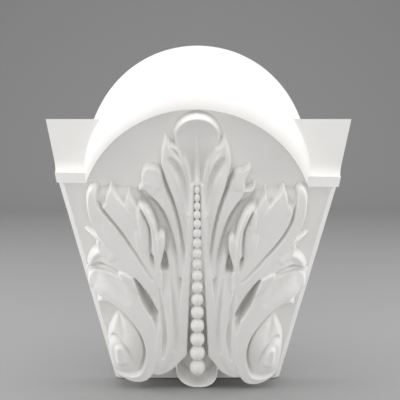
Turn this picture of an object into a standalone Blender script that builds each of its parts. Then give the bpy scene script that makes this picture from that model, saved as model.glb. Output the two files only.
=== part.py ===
"""Wall corbel with a hooded top and an acanthus leaf, cast in one piece. Metres, +Z up."""

import math

import bmesh
import bpy
import numpy as np

# The wall is the plane y = 0 and the front looks along -Y. The origin is the middle of the flat back.

# Block
EAR_SPAN = 0.2418        # width across the ears, at their tops
FOOT_SPAN = 0.1521       # width at the foot
BODY_HEIGHT = 0.2375     # foot to the tops of the ears
FASCIA_DEPTH = 0.0765    # wall to the upright face of the ears
FASCIA_HEIGHT = 0.0343
COVE_DROP = 0.0096       # height of the hollow moulding under that face
COVE_REACH = 0.0085      # how far that moulding steps forward
FILLET_HEIGHT = 0.0080
RIM_STEP = 0.0046        # how far the fillet and the arch stand in front of the panel
FOOT_DEPTH = 0.0064      # thickness at the foot
EDGE_CHAMFER = 0.0045    # slanted strips beside the panel
MOULDING_TILT = 0.0019   # the mouldings stand this much higher on the left and lower on the right
SIDE_LEAD = (-0.0004, 0.0022)    # how much farther out the right side stands: foot, ears

# Hood
ARCH_SPAN = 0.1764       # inner edge of the arch, where it meets the fillet
ARCH_RISE = 0.0590
HOOD_SPAN = 0.1830       # half-round outline on the wall
HOOD_RISE = 0.0846
HOOD_ABOVE_EARS = 0.0649
HOOD_FULLNESS = 1.25     # 1 is a quarter round, 2 a straight slope
HOOD_FOOT_FULLNESS = 0.7
HOOD_ROOT = 0.9          # share of their depth at which the hood's feet end inside the block
ARCH_STEPS = 40
EDGE_ROUNDS = 5          # rounds that find the corner of the panel under the tilted fillet
HOOD_STEPS = 9

# Leaf
LEAF_RELIEF = 0.0180     # height over the panel that the heights below are hundredths of
SUNK = 0.0012            # how far the ground of the leaf lies under the panel
ROOT = 0.0055            # how far the leaf is let into the block
LEAF_CELL = 0.00125      # spacing of the surface points
LEAF_FACES = 7000
ARCH_TO_SPREAD = 1.476   # the arch's span times this is the leaf's spread, the measure across
LEAF_LOW = 0.018         # lowest and highest rows of points, in shares of the leaf's height
LEAF_HIGH = 1.008
LEAF_ARCH = 0.515        # from half height up to where its ground closes, in the same shares
LEAF_REACH = 0.37        # half the ground's width, as a share of the leaf's spread
LEAF_EDGE = 0.4          # how far the ground stays inside the block, in widths of the slanted strip
SHOULDER = 2.2           # roundness of the ribs' edges
RIGHT_BLEND = 9.0        # where the right half starts to differ, in hundredths of the spread

# String of beads
BEAD_COUNT = 18
BEAD_TOP_RADIUS = 0.0015
BEAD_FOOT_RADIUS = 0.0069
BEAD_GROWTH = 1.057      # each bead is this much longer than the one above
BEAD_HALF = 0.53         # half a bead's length, as a share of its pitch, so that they touch
BEAD_SIDES = 6           # steepness of the beads' sides
STRING_TOP = 0.797       # shares of the leaf's height
STRING_RUN = 0.712
STRING_LEVELS = ((0.10, 1.13), (0.25, 1.08), (0.5, 0.81), (0.8, 0.62))   # share of height, of relief
CHANNEL_TOP = 0.95
CHANNEL_GAP = 0.0033     # gap beside the beads for each whole share below that top
CHANNEL_EDGE = 0.0007    # width of the channel's rounded edge
CHANNEL_FLOORS = ((0.12, 46), (0.22, 60), (0.36, 78), (0.55, 78), (0.8, 68))   # share of height, height
CHANNEL_FADE = 0.02
CUP_LEDGE = 0.6

# Values worked out from the sizes above
TOTAL_HEIGHT = BODY_HEIGHT + HOOD_ABOVE_EARS
FOOT_Z = -TOTAL_HEIGHT / 2
EAR_Z = FOOT_Z + BODY_HEIGHT
COVE_TOP_Z = EAR_Z - FASCIA_HEIGHT
FILLET_TOP_Z = COVE_TOP_Z - COVE_DROP
FILLET_FOOT_Z = FILLET_TOP_Z - FILLET_HEIGHT
FILLET_DEPTH = FASCIA_DEPTH + COVE_REACH
PANEL_TOP_DEPTH = FILLET_DEPTH - RIM_STEP
LEAN = math.atan2(PANEL_TOP_DEPTH - FOOT_DEPTH, FILLET_FOOT_Z - FOOT_Z)
ARCH_RADIUS = (ARCH_SPAN ** 2 / 4 + ARCH_RISE ** 2) / (2 * ARCH_RISE)
ARCH_CENTRE_Z = FILLET_FOOT_Z + ARCH_RISE - ARCH_RADIUS
LEAF_HEIGHT = (FILLET_FOOT_Z + ARCH_RISE - FOOT_Z) / math.cos(LEAN)
LEAF_SPREAD = ARCH_SPAN * ARCH_TO_SPREAD

# Half of the leaf, drawn on the leaning panel. A rib has a name, the side it is on (-1 left,
# 1 right, 0 both), the hollow (-) or crown (+) of its section, the width of its rounded edge and
# rows of (across, up, half width, height), in hundredths of the leaf's spread, height, spread
# and relief. The low ribs and grooves come first, and the others lie over them.
LOW_RIBS = (
    ("lower lobe", 0, -0.03, 0.6, ((29.3, 12.9, 0.41, 108), (27.8, 9.8, 0.75, 120),
                                   (24.8, 7.9, 1.15, 132), (20.9, 7.1, 1.77, 136),
                                   (17.6, 8.7, 2.37, 136), (15.6, 14.1, 2.42, 133),
                                   (15.1, 19.1, 2.66, 129), (16.1, 25.4, 3.16, 124),
                                   (18.6, 31.8, 4.04, 117), (21.8, 37.2, 5.04, 108),
                                   (25.3, 40.5, 5.47, 99), (28.8, 42.1, 4.83, 88),
                                   (32.3, 43.3, 3.42, 68))),
    ("lobe root", 0, 0, 1.5, ((34, 45.8, 2.26, 50), (31.3, 46.7, 3.05, 68), (28, 46.4, 3.36, 82),
                              (24.5, 44, 3.36, 96))),
    ("lower barb", 0, 0, 0.9, ((26.7, 37.9, 1.55, 98), (29.2, 37.7, 1.56, 92), (30.9, 37, 1.43, 82),
                               (32.4, 35.4, 0.92, 64))),
    ("barb spike", 0, 0, 0.6, ((29.7, 37.6, 1.49, 90), (31.3, 37.8, 0.85, 74), (32.1, 37.8, 0.39, 56))),
    ("scroll body", 0, 0.5, 1.6, ((24.1, 11.5, 5.8, 82), (23.8, 16.4, 6.76, 86),
                                  (24.2, 20.2, 6.38, 80), (24.6, 24.2, 4.69, 60),
                                  (25.3, 26.9, 3.01, 42), (25.8, 28.9, 1.34, 24))),
    ("scroll eye", 0, 0.06, 1.5, ((25.5, 14.5, 3.09, 133), (25.9, 19, 2.86, 128))),
)
LOW_GROOVES = (
    ("lip hollow", 0, ((36.7, 46.8, 4.53, 30), (33.8, 47, 4.85, 34), (30.9, 47, 4.85, 34),
                       (27.8, 45.2, 4.55, 28), (25.1, 41.6, 3.61, 16), (23, 38, 2.65, 6))),
)
RIBS = (
    ("foot web", 0, 0, 4.2, ((8.7, 57.9, 1.89, 48), (8.7, 54.4, 3.16, 70), (8.4, 49.8, 4.44, 84),
                             (8.5, 43.4, 5.12, 99), (8.9, 36.2, 5.83, 111), (9.7, 28.8, 6.22, 121),
                             (10.8, 21.1, 6.63, 128), (11.5, 15.9, 5.69, 131), (12.1, 11.7, 4.55, 131))),
    ("inner strand", 0, 0, 1.4, ((1.4, 77, 1.27, 58), (1.7, 70.9, 1.71, 67), (2, 64.3, 1.92, 76),
                                 (2.4, 55.8, 2.26, 87), (2.7, 47.1, 2.86, 98), (3.2, 38, 3.55, 107),
                                 (4, 26.5, 4.12, 114), (4.8, 18.5, 4.18, 118), (5.4, 15.2, 3.53, 119))),
    ("tip web", 0, 0, 1, ((4.6, 86.5, 1.79, 28), (4.4, 81.7, 3.31, 40), (3.5, 75.6, 2.73, 56),
                          (2.6, 67.6, 1.84, 72))),
    ("hollow web", 0, -0.1, 1.6, ((16.2, 71.3, 1.24, 20), (13.5, 68.3, 2.17, 24),
                                  (11.4, 63.6, 2.5, 30), (9.6, 58.4, 2.52, 42), (8.4, 54, 2.22, 60),
                                  (7.8, 48.9, 2.23, 80))),
    ("foot skirt", 0, 0, 1.8, ((13.3, 12.3, 5.23, 128), (10.9, 13.9, 5.38, 126), (8.5, 16.2, 5.2, 122),
                               (6.2, 19.3, 4.67, 118), (4.5, 23.1, 3.65, 111), (3.6, 29, 2.63, 100),
                               (3.1, 35.3, 1.63, 92))),
    ("side web", 0, 0, 1.6, ((14.5, 42.9, 4.16, 107), (18.2, 49.8, 5.05, 102), (21.7, 56.6, 5.63, 89),
                             (24.9, 63.2, 5.57, 77), (26, 68.5, 4.61, 67))),
    ("side web end", 0, 0, 1.6, ((15.1, 49.3, 2.54, 90), (18.3, 57.9, 3.43, 86),
                                 (21.4, 65.3, 3.39, 76), (22.8, 69.5, 2.76, 66))),
    ("finger back", 0, 0, 3.6, ((27.8, 70.8, 5.22, 46), (25, 70.9, 5.22, 48), (22.6, 70.8, 5.07, 46),
                                (20.8, 71, 4.46, 42), (19.5, 71.6, 3.54, 38))),
    ("eye web", 0, 0, 1.2, ((17.1, 42.4, 2.56, 104), (15, 38, 2.9, 108), (12.8, 33.5, 2.93, 112))),
    ("eye web", 0, 0, 1.2, ((12.9, 44.6, 1.92, 101), (12.4, 40.3, 2.09, 107), (11.8, 35.9, 2.1, 112))),
    ("under web", 0, 0, 0.5, ((15.2, 41.8, 1.6, 106), (19.6, 45.3, 2.87, 101), (23.3, 49.5, 3.32, 95),
                              (27, 52.2, 3.63, 87), (30, 52.9, 3.41, 75), (32.1, 51.7, 2.67, 65),
                              (33.4, 50.2, 1.98, 58), (34.3, 48.9, 1.35, 54))),
    ("under corner", 0, 0, 1.2, ((26.3, 54, 3.3, 88), (28.4, 55.4, 3.14, 78), (30.2, 56.6, 2.07, 70),
                                 (30.6, 58.1, 1.57, 68))),
    ("flank", -1, -0.28, 1, ((2.8, 51.7, 1.58, 94), (3.3, 61.1, 2.05, 86), (4, 67.9, 2.54, 80),
                             (5, 73.5, 3.12, 75), (6.2, 78.7, 3.42, 72), (7.6, 83.2, 3.28, 69),
                             (8.6, 87.3, 2.36, 65), (9, 89.9, 1.47, 52), (9.2, 92.1, 0.65, 32),
                             (9.3, 92.8, 0.3, 12))),
    ("flank", 1, -0.28, 1, ((2.8, 51.7, 1.58, 94), (3.3, 61.1, 2.05, 86), (4, 67.9, 2.54, 80),
                            (5, 73.5, 3.12, 75), (6, 78.7, 3.3, 72), (7.3, 83.2, 3.1, 69),
                            (7.9, 87.3, 2.19, 65), (8.1, 89.9, 1.36, 52), (8.1, 92.2, 0.65, 32),
                            (8, 93.1, 0.3, 12))),
    ("flank ridge", 0, 0, 1, ((7.8, 89.4, 0.53, 62), (6, 88.4, 0.77, 70), (4.4, 86, 0.89, 75),
                              (3.1, 82.9, 0.95, 78), (2.2, 79, 0.96, 80), (1.7, 74.8, 0.91, 82))),
    ("middle lobe", 0, -0.06, 0.9, ((4.9, 46.6, 1.59, 96), (5.5, 54.9, 1.57, 84),
                                    (6.7, 62.4, 1.86, 74), (8.1, 68.1, 2.27, 67),
                                    (9.9, 72.4, 2.87, 62), (12, 76.3, 3.76, 57),
                                    (13.4, 79.3, 3.62, 52), (14, 80.4, 2.86, 46))),
    ("middle corner", 0, 0, 0.7, ((13.8, 75.6, 2.13, 56), (15, 78.4, 2.27, 52), (15, 81.2, 1.57, 45),
                                  (15.1, 82.1, 1.08, 40))),
    ("middle corner", 0, 0, 0.7, ((12, 76.9, 1.51, 56), (12.2, 80.3, 1.39, 49), (12.3, 81, 1.02, 44))),
    ("middle tooth", -1, 0, 0.6, ((15.3, 77, 1.51, 55), (16.9, 76.1, 1.03, 51), (18, 74.8, 0.27, 42))),
    ("middle tooth", 1, 0, 0.6, ((14.1, 75.3, 0.67, 54), (16.3, 75.6, 0.91, 52),
                                 (17.3, 76.8, 0.61, 48), (17.3, 78.1, 0.24, 36))),
    ("first finger", 0, -0.05, 1.1, ((13, 41.2, 2.24, 110), (17.2, 48.5, 3.32, 105),
                                     (21.8, 53.9, 3.92, 95), (26.2, 59.3, 4.17, 84),
                                     (29.5, 64.3, 3.71, 76), (31.5, 68.9, 2.82, 71),
                                     (32.1, 73.1, 2.13, 64), (31.6, 75.5, 1.52, 54),
                                     (31.2, 76.2, 0.49, 30))),
    ("second finger", 0, 0, 0.8, ((18, 55.2, 2.19, 90), (20.1, 60, 3.11, 85), (23.2, 66.4, 3.85, 76),
                                  (25.2, 70.6, 3.36, 69), (26.1, 73.4, 2.25, 61),
                                  (26.2, 75.4, 1.09, 52), (26.3, 76.3, 0.3, 34))),
    ("third finger", 0, 0, 0.8, ((17.3, 57.2, 2.19, 86), (19, 64, 2.78, 78), (20.3, 68.9, 2.82, 70),
                                 (20.7, 71.7, 2.02, 62), (20.8, 74.1, 0.98, 52), (20.8, 75.4, 0.31, 36))),
    ("side tooth", 0, 0, 1.5, ((28.5, 59.1, 2.34, 80), (30.8, 59.7, 2.19, 68), (32.7, 60.2, 1.75, 54),
                               (34.4, 60.7, 1.19, 42), (35.2, 60.7, 0.75, 34))),
    ("leaflet arc", 0, 0.05, 0.8, ((12.6, 43.1, 1.6, 101), (12.6, 46.5, 1.53, 101),
                                   (12.5, 49.8, 1.39, 101), (13, 55.6, 1.37, 100),
                                   (13.2, 59.9, 1.43, 99), (13.7, 64, 1.48, 97),
                                   (14.7, 67.3, 1.47, 93), (16, 69.8, 1.4, 86), (17.4, 71, 0.98, 70),
                                   (18.1, 71.2, 0.43, 52))),
    ("leaflet link", 0, 0, 0.8, ((15.5, 56.1, 1.56, 95), (16.6, 61.7, 1.55, 91),
                                 (17.4, 65.7, 1.48, 86), (17.9, 69.1, 1.16, 76), (18, 70.7, 0.61, 62))),
    ("leaflet web", 0, 0, 1.2, ((16.7, 68.2, 1.07, 70), (15.6, 64.8, 1.69, 82), (14.7, 60.2, 1.86, 90),
                                (14.4, 55.4, 1.88, 95))),
    ("leaflet petal", 0, 0, 1, ((14.1, 48.3, 1.58, 101), (16, 53.3, 2.07, 98), (17.4, 58.2, 2.12, 94),
                                (18.7, 62.2, 1.42, 86), (19.6, 64.3, 0.4, 68))),
    ("leaflet tooth", 0, 0, 0.7, ((12, 42.7, 1.6, 101), (11.9, 46.8, 1.4, 101), (12, 50.5, 1.14, 101),
                                  (11.7, 54.9, 1.44, 100), (11.3, 58.4, 1.68, 98),
                                  (11.1, 61.1, 1.36, 91), (11.2, 62.6, 0.37, 68))),
    ("lip tooth", 0, 0, 0.7, ((18.4, 42, 2.24, 112), (21.8, 45.4, 2.07, 111), (23.9, 47.5, 1.39, 108),
                              (24.8, 48.7, 0.38, 98))),
)
TIP_LOBE = ((0, 75.2, 1.52, 66), (0, 79.4, 2.71, 52), (0, 83.7, 4.19, 42), (0, 87.7, 5.81, 34),
            (0, 90.4, 6.88, 30), (0, 92.8, 7.14, 30))
MIDRIB = ((0, 78, 1.39, 68), (0, 82.8, 1.26, 54), (0, 87.5, 1.01, 40), (0, 92.1, 0.77, 32),
          (0, 95.6, 0.59, 36))
TIP_CURL = 49
TIP_HOLLOW = -0.3
# Pits go down to a share of the height round them: name, width of the rounded edge, rows
PITS = (
    ("eye", 0.8, ((10.3, 53.7, 0.38, 0), (10.3, 51.9, 0.94, 0), (10.4, 50, 1.26, 0),
                  (10.4, 49.3, 1.2, 0))),
    ("long eye", 1.3, ((20, 46, 0.32, 0), (18.1, 42.2, 1.09, 0), (16.3, 37.7, 1.68, 0),
                       (14.2, 33.1, 1.56, 0))),
)
# Grooves: name, side, rows whose last number is the depth
GROOVES = (
    ("finger groove", 0, ((30.6, 72.7, 0.27, 12), (29.9, 70.3, 0.46, 40), (27.2, 66.8, 0.52, 40),
                          (24, 62.4, 0.53, 34), (20.8, 57.3, 0.53, 26), (17.5, 51.7, 0.54, 18),
                          (14.2, 45.7, 0.51, 8))),
    ("flank groove", 0, ((10.7, 82.8, 0.36, 14), (10, 79.4, 0.57, 42), (8.9, 75.8, 0.73, 50),
                         (7.6, 72.3, 0.73, 44), (6.4, 67.9, 0.68, 34), (5.4, 62.9, 0.62, 26),
                         (4.7, 57.2, 0.56, 18), (4, 49.5, 0.38, 6))),
    ("leaflet groove", 0, ((17.1, 69.2, 0.24, 14), (16, 66.8, 0.46, 34), (14.9, 63.9, 0.52, 38),
                           (14.6, 59.8, 0.53, 34), (14.7, 55.6, 0.5, 26), (14.1, 50.1, 0.32, 8))),
    ("flute", 0, ((8.4, 45.9, 0.48, 4), (7.5, 36, 1.1, 9), (7.3, 25.8, 1.19, 11), (7.8, 18.6, 0.87, 6))),
    ("flute", 0, ((12.4, 42.2, 0.48, 4), (11.1, 32.2, 1.11, 10), (10.8, 23.4, 1.19, 12),
                  (11.6, 16.2, 0.87, 5))),
    ("flank hollow", 0, ((8.6, 85.7, 1.2, 12), (7.1, 84.2, 1.95, 26), (5.3, 81.9, 2.41, 36),
                         (3.8, 78.5, 2.13, 32), (2.9, 74, 1.54, 18), (2.6, 69.4, 0.93, 6))),
)
CUP = ((0, 10.4, 7.64, 132), (0, 12.2, 7.68, 130))
CUP_EDGE = ((3.2, 16.5), (7.8, 11.7))
# How the right half differs: height, shrinking across, lowering
RIGHT_HALF = ((10, 1.06, 1), (20, 1.05, 0.9), (35, 1.03, 0.9), (45, 1, 0.5), (55, 1.02, 1.5),
              (65, 1.01, 1.2), (75, 1, 0.3), (85, 1, 0))
TIP_ROLL = 1.1
CUP_HOLLOW = 0.62
CUP_ROLL = 0.35
CUP_RIM = 0.45
CUP_WALL = 1.9
GROOVE_FLOOR = 8
PIT_FLOOR = 0.3
SCROLL_CENTRE = (25.9, 14.8)
SCROLL_REACH = (3.31, 7.1)
SCROLL_SHARPNESS = 0.15
SCROLL_LEAN = 0.22
SCROLL_FADE = (-0.55, 0.9)
SCROLL_DEPTH = 20
FAR_OFF = 1000.0         # where a rib of the other half is sent


def clear_scene():
    for item in list(bpy.data.objects):
        bpy.data.objects.remove(item, do_unlink=True)


def half_width(z):
    """Half the block's width at the height z: its sides lean in towards the foot."""
    share = (z - FOOT_Z) / BODY_HEIGHT
    return (FOOT_SPAN + (EAR_SPAN - FOOT_SPAN) * share) / 2


def side_x(side, z):
    """Where a side face stands. The right one stands farther out towards the ears."""
    lead = SIDE_LEAD[0] + (SIDE_LEAD[1] - SIDE_LEAD[0]) * (z - FOOT_Z) / BODY_HEIGHT
    return side * half_width(z) + lead * (side > 0)


def tilted(x, z):
    """Height of a moulding at x: cove, fillet and arch run slightly downhill to the right."""
    return z - MOULDING_TILT * x / (EAR_SPAN / 2)


def on_panel(across, up, proud):
    """World point from the distances across, up the leaning panel, and out of it."""
    depth = FOOT_DEPTH + up * math.sin(LEAN) + proud * math.cos(LEAN)
    return across, -depth, FOOT_Z + up * math.cos(LEAN) - proud * math.sin(LEAN)


def panel_depth(z, step=0.0):
    """Distance from the wall to the panel at the height z, plus a step forward."""
    return FOOT_DEPTH + (z - FOOT_Z) * math.tan(LEAN) + step


def new_object(name, mesh, collection):
    made = bpy.data.objects.new(name, mesh)
    collection.objects.link(made)
    return made


def finished(name, work):
    """Mesh of the working body, with its faces turned outward."""
    bmesh.ops.recalc_face_normals(work, faces=work.faces)
    mesh = bpy.data.meshes.new(name)
    work.to_mesh(mesh)
    work.free()
    return mesh


def mesh_from_rings(name, rings):
    """Closed body through rings of equal length, with a face over each end."""
    work = bmesh.new()
    rows = [[work.verts.new(point) for point in ring] for ring in rings]
    count = len(rows[0])
    for lower, upper in zip(rows, rows[1:]):
        for i in range(count):
            j = (i + 1) % count
            work.faces.new((lower[i], lower[j], upper[j], upper[i]))
    work.faces.new(rows[0])
    work.faces.new(rows[-1])
    return finished(name, work)


def cove_points(steps=5):
    """Quarter hollow from the foot of the upright face out to the top of the fillet."""
    points = []
    for i in range(steps + 1):
        angle = math.pi / 2 * i / steps
        points.append((FASCIA_DEPTH + COVE_REACH * (1 - math.cos(angle)),
                       COVE_TOP_Z - COVE_DROP * math.sin(angle)))
    return points


def block_mesh():
    """Side profile of the block, drawn out to the two side faces."""
    moulding = cove_points() + [(FILLET_DEPTH, FILLET_FOOT_Z)]
    rings = []
    for side in (-1, 1):
        profile = [(0.0, EAR_Z), (FASCIA_DEPTH, EAR_Z)]
        profile += [(depth, tilted(side_x(side, z), z)) for depth, z in moulding]
        profile += [(panel_depth(FOOT_Z, RIM_STEP), FOOT_Z), (0.0, FOOT_Z)]
        rings.append([(side_x(side, z), -depth, z) for depth, z in profile])
    return mesh_from_rings("block", rings)


def arch_point(share):
    """Inner edge of the arch in the front view, from its left foot to its right foot."""
    reach = math.asin(ARCH_SPAN / 2 / ARCH_RADIUS)
    if ARCH_RISE > ARCH_RADIUS:
        reach = math.pi - reach
    angle = reach * (2 * share - 1)
    x = ARCH_RADIUS * math.sin(angle)
    return x, tilted(x, ARCH_CENTRE_Z + ARCH_RADIUS * math.cos(angle))


def wall_point(share):
    """Outline of the hood on the wall, from its left foot to its right foot."""
    angle = math.pi * (share - 0.5)
    top = EAR_Z + HOOD_ABOVE_EARS
    return HOOD_SPAN / 2 * math.sin(angle), top - HOOD_RISE * (1 - math.cos(angle))


def hood_mesh():
    """Rounded hood between the arch and its half-round outline on the wall. Its feet are buried."""
    rings = []
    for row in range(HOOD_STEPS + 1):
        angle = math.pi / 2 * row / HOOD_STEPS
        ring = []
        for i in range(ARCH_STEPS + 1):
            share = i / ARCH_STEPS
            fullness = HOOD_FULLNESS + (HOOD_FOOT_FULLNESS - HOOD_FULLNESS) * abs(2 * share - 1) ** 3
            back = math.sin(angle) ** fullness
            front = max(0.0, math.cos(angle)) ** fullness * (row < HOOD_STEPS)
            ax, az = arch_point(share)
            wx, wz = wall_point(share)
            depth = panel_depth(az, RIM_STEP) * front
            ring.append((ax + (wx - ax) * back, -depth, az + (wz - az) * back))
        buried = [(x, HOOD_ROOT * y, FILLET_FOOT_Z - FILLET_HEIGHT / 2) for x, y, _ in (ring[0], ring[-1])]
        rings.append(buried[:1] + ring + buried[1:])
    return mesh_from_rings("hood", rings)


def panel_edge(side, z):
    """Where the panel ends and the slanted strip begins."""
    return side_x(side, z) - side * EDGE_CHAMFER


def strip_corners(side, wide, low):
    """The slanted strip's plane from the foot to the fillet: two outer points, then two on the panel."""
    high = FILLET_FOOT_Z
    for _ in range(EDGE_ROUNDS):
        high = tilted(panel_edge(side, high), FILLET_FOOT_Z)
    far = side * wide
    points = [(far, level, far - panel_edge(side, level)) for level in (low, tilted(far, FILLET_FOOT_Z))]
    points += [(panel_edge(side, level), level, 0.0) for level in (high, low)]
    return [(x, abs(out) - panel_depth(z), z) for x, z, out in points]


def recess_mesh():
    """Cutter that clears the panel inside the arch and below the fillet, with a strip at each side."""
    low = FOOT_Z - BODY_HEIGHT / 4
    left = strip_corners(-1, EAR_SPAN, low)
    right = strip_corners(1, EAR_SPAN, low)
    arch = [arch_point(i / ARCH_STEPS) for i in range(ARCH_STEPS + 1)]
    inner = left[:3] + [(x, -panel_depth(z), z) for x, z in arch]
    inner += [right[2], right[1], right[0], right[3], left[3]]
    outer = [(x, -panel_depth(z, FASCIA_DEPTH), z) for x, _, z in inner]
    work = bmesh.new()
    near, far = [[work.verts.new(point) for point in ring] for ring in (inner, outer)]
    for i in range(-1, len(near) - 1):
        work.faces.new((near[i], near[i + 1], far[i + 1], far[i]))
    work.faces.new(far)
    work.faces.new((near[0], near[1], near[2], near[-1]))
    work.faces.new(near[-5:-1])
    work.faces.new(near[2:-4] + near[-2:])
    return finished("recess", work)


def spline(rows, steps=8):
    """Smooth curve through rows of numbers, every column at once."""
    rows = np.array(rows, dtype=float)
    ends = np.vstack((2 * rows[0] - rows[1], rows, 2 * rows[-1] - rows[-2]))
    out = []
    for a, b, c, d in zip(ends, ends[1:], ends[2:], ends[3:]):
        for k in range(steps):
            u = k / steps
            out.append(0.5 * (2 * b + (c - a) * u + (2 * a - 5 * b + 4 * c - d) * u ** 2
                              + (3 * b - a - 3 * c + d) * u ** 3))
    out.append(rows[-1])
    return np.array(out)


def along(rows, across, up):
    """Inset from a rib's edge, its half width and height, and how far past its end, at each point."""
    path = spline(rows)
    inset = np.full(across.shape, -FAR_OFF)
    width = np.zeros(across.shape)
    height = np.zeros(across.shape)
    beyond = np.zeros(across.shape)
    for start, end in zip(path, path[1:]):
        step = end[:2] - start[:2]
        length = max(math.hypot(*step), 1e-9)
        share = ((across - start[0]) * step[0] + (up - start[1]) * step[1]) / length ** 2
        over = np.clip(share - 1, 0, None) * length
        share = np.clip(share, 0, 1)
        gap = np.hypot(across - start[0] - share * step[0], up - start[1] - share * step[1])
        here = start[2] + share * (end[2] - start[2])
        better = here - gap > inset
        inset = np.where(better, here - gap, inset)
        width = np.where(better, here, width)
        height = np.where(better, start[3] + share * (end[3] - start[3]), height)
        beyond = np.where(better, over, beyond)
    return inset, np.maximum(width, 1e-6), height, beyond


def near(rows, across, up):
    """Which points are close enough to a rib to be touched by it."""
    rows = np.array(rows, dtype=float)
    reach = rows[:, 2].max() + 1
    return ((across > rows[:, 0].min() - reach) & (across < rows[:, 0].max() + reach)
            & (up > rows[:, 1].min() - reach) & (up < rows[:, 1].max() + reach))


def rounded(share):
    """Edge of a rib: steep at its foot and round at its shoulder."""
    return 1 - (1 - np.clip(share, 0, 1)) ** SHOULDER


def smooth(share):
    share = np.clip(share, 0, 1)
    return share * share * (3 - 2 * share)


def raise_rib(top, rows, x, t, crown, roll, curl=0.0):
    """Lift the surface to a rib where the rib is the higher. Its end may curl up."""
    spot = near(rows, x, t)
    inset, width, height, beyond = along(rows, x[spot], t[spot])
    middle = 1 - np.clip((width - inset) / width, 0, 1) ** 2
    lifted = (height + curl * beyond / width) * (1 + crown * middle) * rounded(inset / roll)
    top[spot] = np.maximum(top[spot], np.where(inset > 0, lifted, 0.0))


def cut_groove(top, rows, x, t):
    spot = near(rows, x, t)
    inset, width, depth, _ = along(rows, x[spot], t[spot])
    lowered = top[spot] - depth * smooth(inset / width)
    top[spot] = np.maximum(lowered, np.minimum(top[spot], GROOVE_FLOOR))


def cut_pit(top, rows, x, t, roll):
    spot = near(rows, x, t)
    inset = along(rows, x[spot], t[spot])[0]
    top[spot] *= 1 - (1 - PIT_FLOOR) * rounded(inset / roll)


def cut_scroll(top, x, t):
    """Groove round the eye of each volute, deepest over its top."""
    aside = (x - SCROLL_CENTRE[0] - SCROLL_LEAN * (t - SCROLL_CENTRE[1])) / SCROLL_REACH[0]
    above = (t - SCROLL_CENTRE[1]) / SCROLL_REACH[1]
    ring = np.exp(-((np.hypot(aside, above) - 1) / SCROLL_SHARPNESS) ** 2)
    fade = np.clip((above - SCROLL_FADE[0]) / SCROLL_FADE[1], 0, 1)
    top -= SCROLL_DEPTH * ring * fade * (top > SCROLL_DEPTH)


def bead_rows():
    """Centre, half length and radius of each bead, from the top down, in metres."""
    pitch = STRING_RUN * LEAF_HEIGHT / sum(BEAD_GROWTH ** i for i in range(BEAD_COUNT))
    edge = STRING_TOP * LEAF_HEIGHT
    rows = []
    for i in range(BEAD_COUNT):
        share = i / max(BEAD_COUNT - 1, 1)
        radius = BEAD_TOP_RADIUS + (BEAD_FOOT_RADIUS - BEAD_TOP_RADIUS) * share
        rows.append((edge - pitch / 2, pitch * BEAD_HALF, radius))
        edge -= pitch
        pitch *= BEAD_GROWTH
    return rows


def cut_channel(top, across, up):
    """Channel that the beads lie in. It opens a little towards the foot."""
    share = up / LEAF_HEIGHT
    beads = bead_rows()[::-1]
    radius = np.interp(up, [bead[0] for bead in beads], [bead[2] for bead in beads])
    gap = CHANNEL_GAP * np.clip(CHANNEL_TOP - share, 0, 1)
    inside = smooth((radius + gap - np.abs(across)) / (CHANNEL_EDGE + LEAF_CELL / 2))
    inside = inside * smooth((STRING_TOP - share) / CHANNEL_FADE)
    floor = np.interp(share, *zip(*CHANNEL_FLOORS))
    top[:] = top * (1 - inside) + np.minimum(top, floor) * inside


def raise_cup(top, x, t):
    """Cup under the string: its upper edge leans from the beads down to its side."""
    spot = near(CUP, x, t)
    inset, _, height, _ = along(CUP, x[spot], t[spot])
    hollow = 1 - CUP_HOLLOW * smooth((inset - CUP_RIM) / CUP_WALL)
    cup = np.zeros(top.shape)
    cup[spot] = np.where(inset > 0, height * hollow * rounded(inset / CUP_ROLL), 0.0)
    (near_x, near_t), (far_x, far_t) = CUP_EDGE
    edge = near_t + (x - near_x) * (far_t - near_t) / (far_x - near_x)
    within = smooth((edge - t) / CUP_LEDGE)
    top[:] = np.where(cup > 0, top * (1 - within) + cup * within, top)


def add_beads(metres, across, up):
    for centre, half, radius in bead_rows():
        level = LEAF_RELIEF * np.interp(centre / LEAF_HEIGHT, *zip(*STRING_LEVELS))
        share = (across / radius) ** 2 + ((up - centre) / half) ** 2
        dome = np.sqrt(np.clip(1 - share, 0, 1))
        bead = level * np.minimum(1, BEAD_SIDES * dome) + radius * dome
        np.maximum(metres, bead, out=metres, where=share < 1)


def leaf_surface(across, up):
    """Height of the leaf over the panel, in metres, at points given in metres."""
    t = up / LEAF_HEIGHT * 100
    x = np.abs(across) / LEAF_SPREAD * 100
    levels, shrinking, lowering = np.array(RIGHT_HALF).T
    right = smooth(x * (across > 0) / RIGHT_BLEND)
    x = x * (1 + (np.interp(t, levels, shrinking) - 1) * right)
    t = t + np.interp(t, levels, lowering) * right
    top = np.zeros(x.shape)
    for ribs, grooves in ((LOW_RIBS, LOW_GROOVES), (RIBS, GROOVES)):
        for _, side, crown, roll, rows in ribs:
            raise_rib(top, rows, np.where(across * side < 0, FAR_OFF, x), t, crown, roll)
        if ribs is RIBS:
            raise_rib(top, TIP_LOBE, x, t, TIP_HOLLOW, TIP_ROLL, curl=TIP_CURL)
            raise_rib(top, MIDRIB, x, t, 0.0, TIP_ROLL)
        for _, side, rows in grooves:
            cut_groove(top, rows, np.where(across * side < 0, FAR_OFF, x), t)
    for _, roll, rows in PITS:
        cut_pit(top, rows, x, t, roll)
    cut_scroll(top, x, t)
    cut_channel(top, across, up)
    raise_cup(top, x, t)
    strip = half_width(FOOT_Z + up * math.cos(LEAN)) - EDGE_CHAMFER
    ground = SUNK + np.maximum(0, np.abs(across) - strip)
    metres = np.where(top < 1, -ground, top / 100 * LEAF_RELIEF)
    add_beads(metres, across, up)
    return metres


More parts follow.
